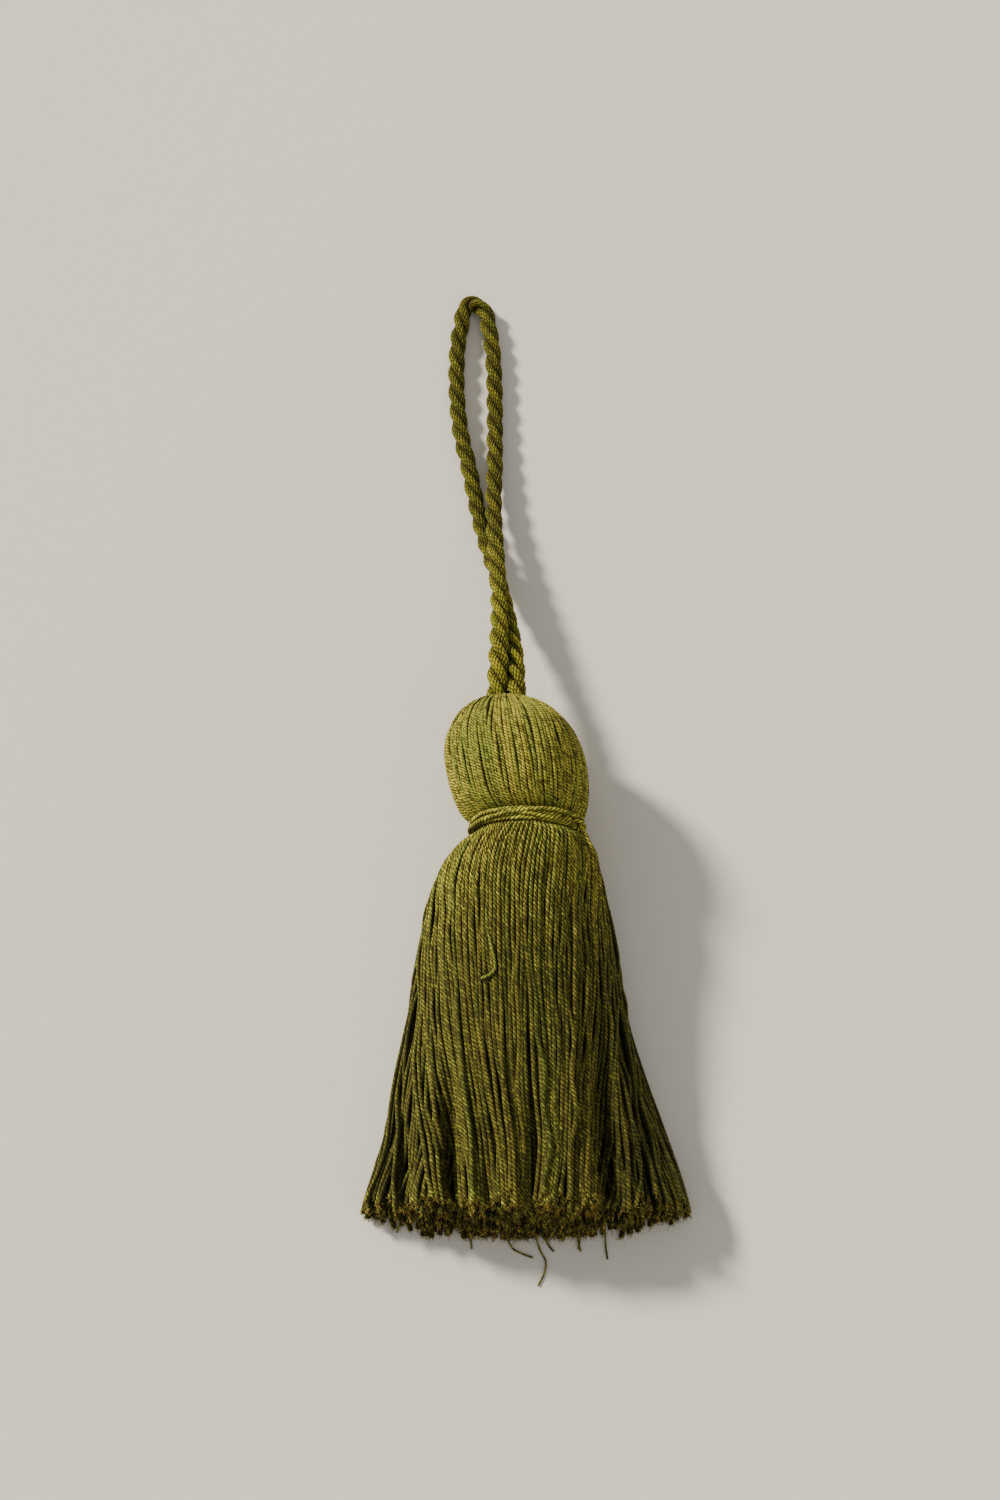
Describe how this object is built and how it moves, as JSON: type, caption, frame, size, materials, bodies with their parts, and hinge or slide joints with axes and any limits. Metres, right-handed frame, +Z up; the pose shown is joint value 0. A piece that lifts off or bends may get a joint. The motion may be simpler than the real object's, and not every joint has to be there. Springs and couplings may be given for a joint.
{
  "type": "tassel",
  "caption": "Yarn tassel with a ball-shaped head, a wound neck, a spreading skirt of cut yarn and a twisted hanging loop, lying on its side.",
  "frame": {"origin": "on the surface it lies on, under the middle of the head and skirt, without the hanging loop", "axes": "+Y along the tassel towards the hanging loop, +X across the skirt, +Z up from the surface"},
  "size_m": [0.0785, 0.2526, 0.0345],
  "materials": {
    "skirt_yarn": "matte plied cotton yarn, moss green",
    "binding_yarn": "matte plied cotton yarn, moss green",
    "cord_yarn": "matte three-ply twisted cord of the same yarn, moss green"
  },
  "bodies": {
    "root": {"tassel_yarn": "skirt_yarn", "neck_binding": "binding_yarn", "hanging_loop": "cord_yarn"}
  },
  "joints": []
}
